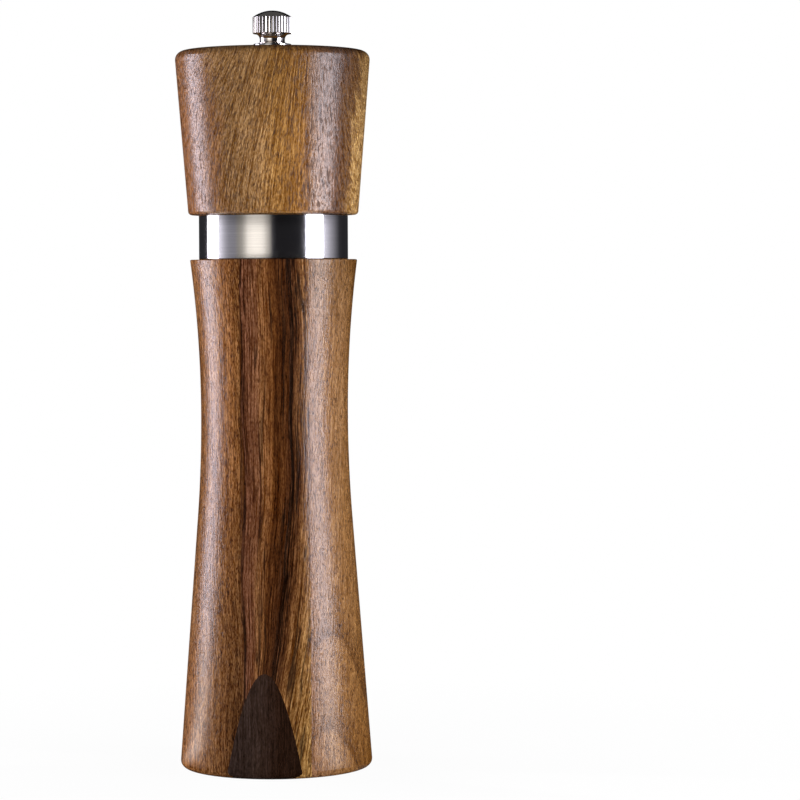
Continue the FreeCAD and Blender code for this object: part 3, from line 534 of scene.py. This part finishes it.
# %% Woods
GLUE_LINE = 9.75
left_wood = wood_finish("wood_left", [
    (0.0, (154, 104, 60)), (0.3, (150, 105, 64)), (0.6, (150, 105, 64)), (0.8, (152, 103, 60)),
    (0.95, (141, 95, 53)), (1.0, (132, 89, 49)),
], width=18.0, start=-28.0, lean=-0.02, fade=(5.0, 125.0, 0.44), fade_side=(4.0, 15.0), offset=(40, 10, 0),
    drift=0.3, streak=0.3, dull=0.08)
front_wood = wood_finish("wood_centre", [
    (0.0, (112, 74, 43)), (0.016, (106, 69, 41)), (0.028, (58, 34, 23)), (0.04, (64, 38, 27)),
    (0.065, (109, 68, 46)), (0.17, (122, 79, 51)), (0.20, (136, 91, 52)), (0.265, (124, 80, 43)),
    (0.305, (104, 63, 28)), (0.365, (66, 35, 12)), (0.42, (84, 49, 22)), (0.455, (66, 37, 18)),
    (0.48, (22, 13, 8)), (0.505, (70, 41, 21)), (0.58, (100, 64, 34)), (0.66, (122, 84, 46)),
    (0.72, (132, 94, 52)), (1.0, (148, 112, 62)),
], width=30.0, start=-GLUE_LINE, sweep=0.0010, sweep_top=105.0, drift=0.06, streak=0.18, thread=0.6, fibre=0.45,
    pores=0.5, veins=0.85, dull=0.0, relief=0.2, ragged=0.16)
right_wood = wood_finish("wood_right", [
    (0.0, (140, 100, 69)), (0.4, (152, 112, 72)), (0.7, (140, 97, 50)), (1.0, (128, 84, 36)),
], width=18.0, start=GLUE_LINE, lean=0.06, fade=(146.0, 116.0, 0.70), offset=(-70, 25, 0), drift=0.3, streak=0.3,
    thread=0.24, fibre=0.36, pores=1.0, dashes=0.22, dull=0.12, arch=(5.5, 38.5, 0.18, 26.0, 0.85))
# The head's edge setting paints shade on its rounded top rim
head_wood = wood_finish("wood_head", [
    (0.0, (150, 100, 58)), (0.14, (140, 100, 68)), (0.19, (134, 94, 58)), (0.25, (146, 111, 73)),
    (0.42, (162, 123, 78)), (0.52, (154, 112, 60)), (0.64, (146, 103, 54)), (0.72, (130, 94, 66)),
    (0.82, (108, 78, 60)), (0.86, (104, 72, 46)), (0.90, (120, 86, 52)), (0.925, (178, 140, 86)),
    (1.0, (180, 142, 88)),
], width=56.0, start=-28.0, lean=0.5, upright=0.3, fan=0.012, wander=1.0, tone_lean=-0.03, tone_fan=0.005,
    middle=180.0, edge=(204.9, 2.6, 0.92), fade=(204.0, 172.0, 0.70), fade_side=(0.0, 34.0), offset=(15, -60, 30),
    drift=0.10, streak=0.12, thread=0.45, fibre=0.45, pores=0.7, dashes=0.45, roughness=0.13, relief=0.3, dull=0.40)
inlay_wood = wood_finish("wood_inlay", [
    (0.0, (52, 40, 36)), (0.35, (57, 42, 35)), (0.65, (42, 26, 17)), (1.0, (34, 19, 10)),
], width=22.0, start=-14.0, offset=(5, 90, 0), drift=0.2, streak=0.3, thread=0.3, fibre=0.3, pores=0.4, dull=0.0,
    relief=0.2)
print("woods:", [wood.name for wood in (left_wood, front_wood, right_wood, head_wood, inlay_wood)])

# %% [markdown]
# ## Turn the body and part it into boards
#
# The body is turned whole and then parted along its glue lines, the way the real boards share one turned surface.
# Parting a finished turning keeps the outline unbroken across the joints. Each board is a closed solid of its own.

# %% Body
def part_off(shape, point, normal):
    """Keep the side of a plane that its normal points away from, and close the cut."""
    everything = shape.verts[:] + shape.edges[:] + shape.faces[:]
    bmesh.ops.bisect_plane(shape, geom=everything, dist=1e-8, plane_co=point, plane_no=normal, clear_outer=True)
    open_edges = [edge for edge in shape.edges if edge.is_boundary]
    bmesh.ops.holes_fill(shape, edges=open_edges, sides=0)
    bmesh.ops.recalc_face_normals(shape, faces=shape.faces)


body_corners = [
    (22.15, 0.0, 0.3), (27.6, 0.0, 2.0), (21.0, 86.5, 380.0), (21.0, 123.2, 344.2), (23.85, 145.2, 0.35),
    (20.2, 145.2, 0.0), (20.2, 157.6, 0.0), (17.0, 157.6, 0.0), (17.0, 142.0, 0.0), (14.0, 142.0, 0.0),
    (14.0, 30.15, 0.0), (16.65, 30.15, 0.0), (16.65, 7.0, 0.0), (22.15, 7.0, 0.0),
]
blank = turn_on_lathe("body", body_corners, left_wood, arc_steps=24)
# The inlay lies on a flat that is turned a little to the left
swing = math.radians(7.5)
inlay_out = Vector((-math.sin(swing), -math.cos(swing), 0.0))
inlay_face = inlay_out * 25.35 * MM
east = Vector((1, 0, 0))
south = Vector((0, -1, 0))
centre = Vector((0, 0, 0))
right_line = GLUE_LINE * MM * east
left_line = -right_line
cuts = {
    "body_left_board": (left_wood, "wood_left", [(left_line, east), (inlay_face, inlay_out)]),
    "body_right_board": (right_wood, "wood_right", [(right_line, -east), (inlay_face, inlay_out)]),
    "body_front_board": (front_wood, "wood_centre", [
        (left_line, -east), (right_line, east), (centre, -south), (inlay_face, inlay_out)]),
    "body_back_board": (front_wood, "wood_centre", [(left_line, -east), (right_line, east), (centre, south)]),
    "base_inlay": (inlay_wood, "wood_inlay", [(inlay_face, -inlay_out)]),
}
for name, (finish, slot, planes) in cuts.items():
    board = blank.copy()
    for point, normal in planes:
        part_off(board, point, normal)
    finish_piece(name, board, finish, "body")
blank.free()

# %% [markdown]
# The head widens upwards and has a slightly domed top. Its tenon reaches down into the collar.

# %% Head
head_corners = [
    (4.593, 145.4, 0.0), (16.7, 145.4, 0.4), (16.7, 157.9, 0.0), (24.2, 157.9, 1.1), (27.9, 204.3, 2.5),
    (16.0, 205.02, 60.0), (5.45, 205.2, 0.0), (4.593, 205.2, 0.0),
]
finish_piece("mill_head", turn_on_lathe("head", head_corners, head_wood), head_wood, "head")

# %% [markdown]
# ## Metal
#
# The collar is a band of brushed steel, the knob and its bushing are chrome plated. Brushing is a fine set of lines
# round the band, so the light spreads up and down but stays sharp sideways. That is bump from a noise that is
# squeezed along the axis, with a little tone from the same lines. The floors of the knob's flutes get painted shade.

# %% Metal finishes
LINE_HEIGHT = 0.02 * MM
# Colour of the painted shade on the floors of the flutes
GROOVE_PAINTED_SHADE = (0.01, 0.01, 0.012, 1)


def painted_groove_share(tree, spot, floor_radius, top_radius, low, high, shade):
    """Share of painted shade by how deep a place lies in the flutes, in millimetres from the axis and from the floor.
    """
    sides = split(tree, spot)
    depth = map_range(tree, from_axis(tree, sides), top_radius * MM, floor_radius * MM, to_high=1.0 - shade)
    above = calc(tree, "GREATER_THAN", sides["Z"], low * MM)
    below = calc(tree, "LESS_THAN", sides["Z"], high * MM)
    return calc(tree, "MULTIPLY", depth, calc(tree, "MULTIPLY", above, below))


def metal_finish(name, colour, roughness, lines, line_scale=9.0, smudge=0.06, painted_groove_shade=None):
    """Metal with lathe or brush lines round the axis, a faint unevenness and, if asked for, painted shade in the
    flutes.
    """
    material, tree, shader, spot = start_finish(name)
    squeezed = (30, 30, line_scale / MM)
    drawn = add_node(tree, "ShaderNodeMapping", {"Vector": spot, "Scale": squeezed}).outputs[0]
    line = noise(tree, drawn, 1.0, 3.0)
    cloud = noise(tree, spot, 220.0, 2.0)
    tone = map_range(tree, line, 0.3, 0.7, 1.0 - lines, 1.0)
    shown = blend_colour(tree, "MULTIPLY", 1.0, linear(*colour), tone)
    if painted_groove_shade:
        # Painted shade darkens the floors of the flutes
        shown = blend_colour(tree, "MIX", painted_groove_share(tree, spot, *painted_groove_shade), shown, GROOVE_PAINTED_SHADE)
    tree.links.new(shown, shader.inputs["Base Color"])
    rough = calc(tree, "ADD", calc(tree, "MULTIPLY", cloud, smudge), roughness - smudge / 2)
    tree.links.new(rough, shader.inputs["Roughness"])
    bump = add_node(tree, "ShaderNodeBump", {
        "Height": line, "Strength": min(1.0, lines * 1.5), "Distance": LINE_HEIGHT,
    })
    tree.links.new(bump.outputs[0], shader.inputs["Normal"])
    shader.inputs["Metallic"].default_value = 1.0
    return material


brushed_steel = metal_finish("brushed_steel", (206, 203, 200), 0.10, lines=0.12)
chrome = metal_finish("chrome", (232, 232, 234), 0.07, lines=0.02, smudge=0.03)
# The knob's flutes get painted shade on their floors
fluted_chrome = metal_finish("fluted_chrome", (236, 230, 225), 0.07, lines=0.02, smudge=0.03,
                             painted_groove_shade=(5.32, 5.55, 209.5, 214.05, 0.1))
bright_steel = metal_finish("bright_steel", (196, 196, 198), 0.28, lines=0.08)
aluminium = metal_finish("aluminium", (206, 207, 208), 0.36, lines=0.1, line_scale=3.0)
grinder_steel = metal_finish("grinder_steel", (92, 90, 88), 0.45, lines=0.12)
metals = (brushed_steel, chrome, fluted_chrome, bright_steel, aluminium, grinder_steel)
print("metals:", [metal.name for metal in metals])

# %% [markdown]
# The knob has a fluted skirt over a concave neck. Its dome is part of a ball that meets the rim of the skirt.

# %% Collar, bushing and knob
collar_corners = [(20.25, 145.2, 0.0), (21.25, 145.2, 0.3), (21.25, 157.9, 0.3), (20.25, 157.9, 0.0)]
collar = turn_on_lathe("collar", collar_corners, brushed_steel, arc_steps=6)
collar_look = finish_piece("neck_collar", collar, brushed_steel, "body")
bushing_corners = [
    (2.7, 197.2, 0.0), (4.543, 197.2, 0.2), (4.543, 205.2, 0.0), (5.453, 205.2, 0.15), (5.453, 206.5, 0.3),
    (2.7, 206.5, 0.0),
]
bushing = turn_on_lathe("bushing", bushing_corners, chrome, segments=96, arc_steps=6)
bushing_look = finish_piece("head_bushing", bushing, chrome, "head")
skirt = 5.6
crown = 215.999
dome_rise = 1.9
dome_steps = 10
dome_radius = (skirt ** 2 + dome_rise ** 2) / (2 * dome_rise)
knob_corners = [
    (skirt, 214.1, 0.25), (skirt, 209.4, 0.2), (3.575, 209.4, 1.6), (3.575, 206.75, 0.7), (4.1, 206.75, 0.1),
    (4.1, 206.5, 0.0), (2.55, 206.5, 0.0), (2.55, 213.8, 0.0), (0.0, 213.8, 0.0),
]
for step in range(dome_steps):
    out = skirt * step / dome_steps
    knob_corners.append((out, crown - dome_radius + math.sqrt(dome_radius ** 2 - out ** 2), 0.0))
flutes = {"Flutes": 36, "Flute Radius": 0.45 * MM, "Flute Depth": 0.28 * MM,
          "Flute Low": 209.38 * MM, "Flute High": 214.0 * MM}
knob = turn_on_lathe("knob", knob_corners, fluted_chrome, segments=432, arc_steps=8, flutes=flutes)
knob_look = finish_piece("adjusting_knob", knob, fluted_chrome, "knob")

# %% [markdown]
# ## Grinder inside
#
# The grinder, the shaft and the screws are hidden until the head is lifted or the mill is turned over. Their measured
# meshes are right as they are, so they only get finishes: moulded black plastic with a fine texture for the housing
# and the hub, hardened steel for the cutting ring and cone, and plain metals for the rest.

# %% Finishes of the grinder
TEXTURE_HEIGHT = 0.04 * MM


def plastic_finish(name, colour):
    """Moulded plastic with a fine eroded texture."""
    material, tree, shader, spot = start_finish(name)
    fine = noise(tree, spot, 4200.0, 2.0)
    cloud = noise(tree, spot, 160.0, 3.0)
    tone = map_range(tree, cloud, 0.0, 1.0, 0.8, 1.25)
    tree.links.new(blend_colour(tree, "MULTIPLY", 1.0, linear(*colour), tone), shader.inputs["Base Color"])
    rough = calc(tree, "ADD", calc(tree, "MULTIPLY", fine, 0.2), 0.38)
    tree.links.new(rough, shader.inputs["Roughness"])
    bump = add_node(tree, "ShaderNodeBump", {"Height": fine, "Strength": 0.3, "Distance": TEXTURE_HEIGHT})
    tree.links.new(bump.outputs[0], shader.inputs["Normal"])
    return material


black_plastic = plastic_finish("black_plastic", (34, 34, 35))
finishes = {
    "grinder_housing": black_plastic, "rotor_hub": black_plastic, "stator_ring": grinder_steel,
    "rotor_cone": grinder_steel, "drive_shaft": aluminium, "drive_plate": bright_steel,
    "drive_plate_screws": bright_steel, "housing_screws": bright_steel, "spring_washer": bright_steel,
    "rotor_washer": bright_steel, "rotor_screw": bright_steel,
}
for name, finish in finishes.items():
    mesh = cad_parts[name].data
    mesh.materials.clear()
    mesh.materials.append(finish)
print("finishes given to", len(finishes), "pieces of the grinder")

# %% [markdown]
# The spring can't ride on one body: its foot follows the rotor while its top stays at the bridge. A copy of its
# measured mesh, with its loose corners merged, gets its finish and rides on no body.

# %% Spring
coil = bmesh.new()
coil.from_mesh(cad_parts["grinder_spring"].data)
bmesh.ops.remove_doubles(coil, verts=coil.verts, dist=1e-7)
spring_look = finish_piece("grinder_spring", coil, bright_steel, None)
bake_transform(spring_look)

# %% [markdown]
# ## Studio
#
# The light is a plain product studio: a tall softbox on the left and a little behind, a second one on the right, a
# soft fill beside each of them that no surface mirrors, a weak warm panel beside the camera and a broad light above.
# A lamp under the floor is there for pictures of the grinder from below.

# %% Lights
def softbox(name, bearing, distance, height, width, tall, strength, colour, mirrored=True):
    """Area light at a bearing from the camera's side, right positive, that faces the mill's axis."""
    light = bpy.data.lights.new(name, "AREA")
    light.shape = "RECTANGLE"
    light.size = width
    light.size_y = tall
    light.energy = strength * width * tall * math.pi
    light.color = colour
    lamp = bpy.data.objects.new(name, light)
    turn = math.radians(bearing)
    lamp.location = (distance * math.sin(turn), -distance * math.cos(turn), height)
    lamp.rotation_euler = (math.radians(90), 0, turn)
    lamp.visible_camera = False
    lamp.visible_glossy = mirrored
    scene.collection.objects.link(lamp)
    return lamp


softbox("left_softbox", bearing=-107.5, distance=0.75, height=0.2275, width=0.35, tall=0.445, strength=7.2,
        colour=(0.95, 0.92, 1.07))
softbox("left_fill", bearing=-112, distance=0.75, height=0.17, width=0.40, tall=0.56, strength=2.2,
        colour=(1.0, 0.93, 0.97), mirrored=False)
softbox("right_softbox", bearing=66.5, distance=0.75, height=0.2275, width=0.40, tall=0.445, strength=9.7,
        colour=(0.89, 0.92, 1.06))
softbox("right_fill", bearing=66.5, distance=0.75, height=0.17, width=0.47, tall=0.56, strength=1.3,
        colour=(1.0, 0.95, 0.93), mirrored=False)
softbox("front_fill", bearing=-25, distance=0.9, height=0.22, width=0.5, tall=0.5, strength=4.2,
        colour=(1.0, 0.95, 0.88), mirrored=False)
overhead = softbox("overhead", bearing=0, distance=0.0, height=1.1, width=1.0, tall=1.0, strength=0.20,
                   colour=(1.0, 1.0, 1.0), mirrored=False)
overhead.rotation_euler = (0, 0, 0)
below = softbox("below", bearing=0, distance=0.0, height=-0.6, width=1.8, tall=1.8, strength=1.0,
                colour=(1.0, 1.0, 1.0))
below.rotation_euler = (math.pi, 0, 0)

# %% [markdown]
# The backdrop is white to the camera, a mirror shows it almost dark, and it sheds a little light. The floor is as
# white as the backdrop and keeps only a trace of the mill's shadow. From below the camera looks through the floor,
# and a hole in it lets light reach the grinder.

# %% World and floor
WORLD_LIGHT, WORLD_MIRRORED = 0.22, 0.07
FLOOR_EDGE, FLOOR_HOLE = 6.0, 0.0245
WHITE = (1, 1, 1, 1)

world = bpy.data.worlds.new("studio")
world.use_nodes = True
scene.world = world
tree = world.node_tree
rays = add_node(tree, "ShaderNodeLightPath").outputs
darker = calc(tree, "MULTIPLY", rays["Is Glossy Ray"], WORLD_LIGHT - WORLD_MIRRORED)
seen = calc(tree, "MAXIMUM", rays["Is Camera Ray"], rays["Is Transmission Ray"])
strength = calc(tree, "MAXIMUM", seen, calc(tree, "SUBTRACT", WORLD_LIGHT, darker))
tree.links.new(strength, tree.nodes["Background"].inputs["Strength"])
tree.nodes["Background"].inputs["Color"].default_value = WHITE


def ring_sheet(name, rows, steps=180):
    """Open ring of faces through (radius, height) rows round the axis."""
    shape = bmesh.new()
    rings = []
    for radius, height in rows:
        turns = [2 * math.pi * step / steps for step in range(steps)]
        rings.append([shape.verts.new((radius * math.sin(t), -radius * math.cos(t), height)) for t in turns])
    for low, high in zip(rings, rings[1:]):
        for step in range(steps):
            after = (step + 1) % steps
            shape.faces.new((low[step], low[after], high[after], high[step]))
    mesh = bpy.data.meshes.new(name)
    shape.to_mesh(mesh)
    shape.free()
    sheet = bpy.data.objects.new(name, mesh)
    scene.collection.objects.link(sheet)
    return sheet


floor = ring_sheet("floor", [(FLOOR_EDGE, 0.0), (FLOOR_HOLE, 0.0)])
floor_white, tree, shader, spot = start_finish("floor_white")
shader.inputs["Base Color"].default_value = (0.8, 0.8, 0.8, 1)
shader.inputs["Roughness"].default_value = 0.9
rays = add_node(tree, "ShaderNodeLightPath").outputs
seen = calc(tree, "MAXIMUM", rays["Is Camera Ray"], rays["Is Glossy Ray"])
seen = calc(tree, "MAXIMUM", seen, rays["Is Transmission Ray"])
whiter = map_range(tree, length(tree, spot), 0.035, 0.20, 0.96, 1.0)
glow = add_node(tree, "ShaderNodeEmission", {"Color": WHITE, "Strength": 1.0})
lit = add_node(tree, "ShaderNodeMixShader", {
    0: calc(tree, "MULTIPLY", seen, whiter), 1: shader.outputs[0], 2: glow.outputs[0],
})
backfacing = add_node(tree, "ShaderNodeNewGeometry").outputs["Backfacing"]
clear = add_node(tree, "ShaderNodeBsdfTransparent")
shown = add_node(tree, "ShaderNodeMixShader", {
    0: calc(tree, "MULTIPLY", backfacing, rays["Is Camera Ray"]), 1: lit.outputs[0], 2: clear.outputs[0],
})
tree.links.new(shown.outputs[0], tree.nodes["Material Output"].inputs["Surface"])
floor.data.materials.append(floor_white)

# %% [markdown]
# Polished metal shows its surroundings, so a ring of grey cards stands round the set. Light linking lets the cards
# shine on the metal pieces alone, as a photographer screens off a card that would dull the wood. The white table in
# front of each softbox is there for every piece: it carries the softbox's stripe on down to the foot.

# %% Cards and table
WARM_CARD, COOL_CARD = (1.0, 0.95, 0.89), (0.98, 0.97, 1.14)
TABLE_TINT = (1.0, 0.94, 0.91)
RING_RADIUS = 1.3


def ring_wall(name, rows):
    """Ring that only mirrors can see."""
    wall = ring_sheet(name, rows)
    wall.visible_camera = False
    wall.visible_diffuse = False
    wall.visible_shadow = False
    return wall


def tinted(level, tint):
    """Colour of a level of light."""
    return [level * share for share in tint] + [1.0]


def ring_glow(wall, colours, fade_by, fades):
    """Glow by bearing from the camera's side, times a level by height or by distance from the axis."""
    material, tree, shader, spot = start_finish(wall.name)
    sides = split(tree, spot)
    bearing = calc(tree, "ARCTAN2", sides["X"], calc(tree, "MULTIPLY", sides["Y"], -1))
    around = calc(tree, "ADD", calc(tree, "DIVIDE", bearing, 2 * math.pi), 0.5)
    seen = colour_row(tree, around, [(angle / 360 + 0.5, colour) for angle, colour in colours])
    way = sides["Z"] if fade_by == "height" else length(tree, spot)
    level = colour_row(tree, way, [(place, (value, value, value, 1)) for place, value in fades])
    glow = add_node(tree, "ShaderNodeEmission", {"Color": blend_colour(tree, "MULTIPLY", 1.0, seen, level)})
    tree.links.new(glow.outputs[0], tree.nodes["Material Output"].inputs["Surface"])
    wall.data.materials.append(material)


# Level of the cards by bearing in degrees, with the warm panel's card from -55 to -6
card_levels = [
    (-180, 0.028), (-130, 0.028), (-125, 0.02), (-120, 1.5), (-96, 1.5), (-89, 1.22), (-83, 0.80), (-77, 0.52),
    (-71, 0.39), (-62, 0.35), (-55, 0.42), (-49, 0.58), (-44, 0.95), (-39, 1.5), (-30, 1.72), (-20, 1.65),
    (-15, 1.42), (-11, 1.0), (-6, 0.6), (-2, 0.08), (4, 0.02), (40, 0.02), (49, 0.09), (52, 1.3), (82, 1.3),
    (90, 0.92), (98, 0.56), (105, 0.36), (113, 0.17), (122, 0.045), (133, 0.028), (180, 0.028),
]
card_colours = []
for angle, level in card_levels:
    card_colours.append((angle, tinted(level, WARM_CARD if -56 < angle < -5 else COOL_CARD)))
cards = ring_wall("studio_cards", [(RING_RADIUS, 0.001), (RING_RADIUS, 1.2)])
ring_glow(cards, card_colours, "height", [(0.0, 1.0), (0.24, 1.0), (0.30, 0.5), (0.6, 0.5), (0.9, 0.15)])
mirrors = bpy.data.collections.new("mirrors")
inner_metal = [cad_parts[name] for name, finish in finishes.items() if finish in metals]
for piece in [collar_look, bushing_look, knob_look, spring_look] + inner_metal:
    mirrors.objects.link(piece)
cards.light_linking.receiver_collection = mirrors
table_levels = [
    (-180, 0.03), (-116, 0.03), (-113, 5.2), (-95, 5.2), (-92, 0.03), (53, 0.03), (56, 6.4), (74, 6.4), (78, 0.03),
]
table = ring_wall("studio_table", [(0.0262, 0.0002), (RING_RADIUS, 0.0002)])
ring_glow(table, [(angle, tinted(level, TABLE_TINT)) for angle, level in table_levels], "distance",
          [(0.0, 0.02), (0.04, 0.02), (0.09, 1.0), (0.80, 1.0), (0.90, 0.3)])
